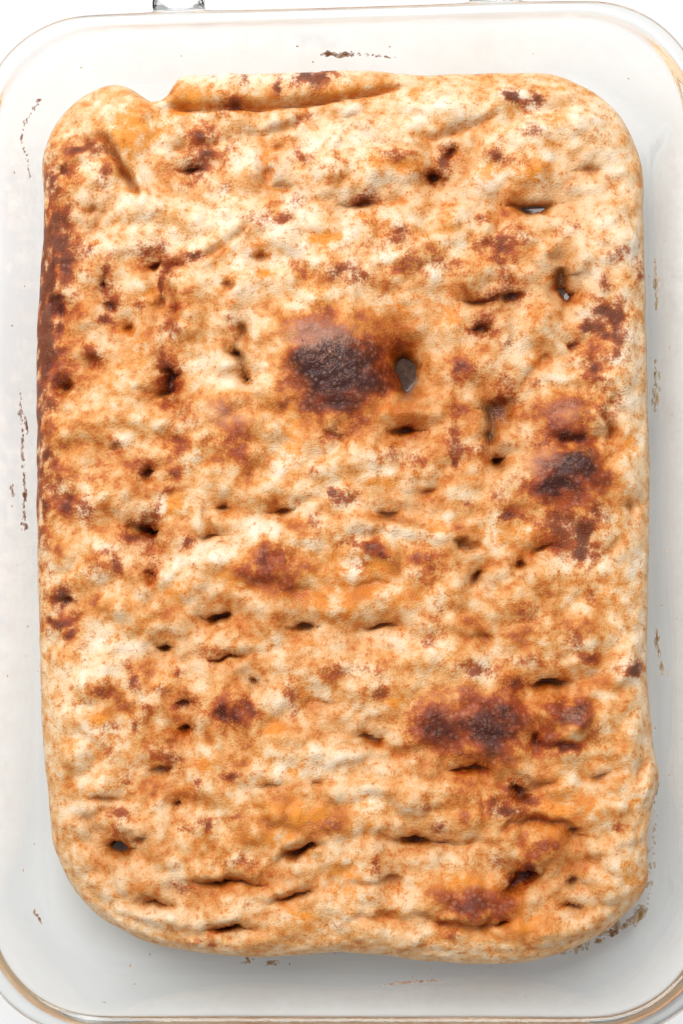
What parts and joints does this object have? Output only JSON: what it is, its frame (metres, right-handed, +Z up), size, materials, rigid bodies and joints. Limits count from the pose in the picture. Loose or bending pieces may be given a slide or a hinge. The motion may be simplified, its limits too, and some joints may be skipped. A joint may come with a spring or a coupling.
{
  "type": "cinnamon focaccia in a glass baking dish",
  "caption": "Oblong dimpled focaccia with cinnamon and burnt blisters, resting in its clear glass baking dish with loop handles at both ends.",
  "frame": {"origin": "bottom centre of the whole object, on the surface that the dish stands on", "axes": "+Z up, +Y along the dish's length from the front handle to the back handle, +X across the dish to the right"},
  "size_m": [0.246, 0.394, 0.056],
  "materials": {
    "clear_glass": "clear pressed glass, fire-polished and glossy",
    "baked_crust": null
  },
  "bodies": {
    "root": {"baking_dish": "clear_glass", "focaccia": "baked_crust"}
  },
  "joints": []
}
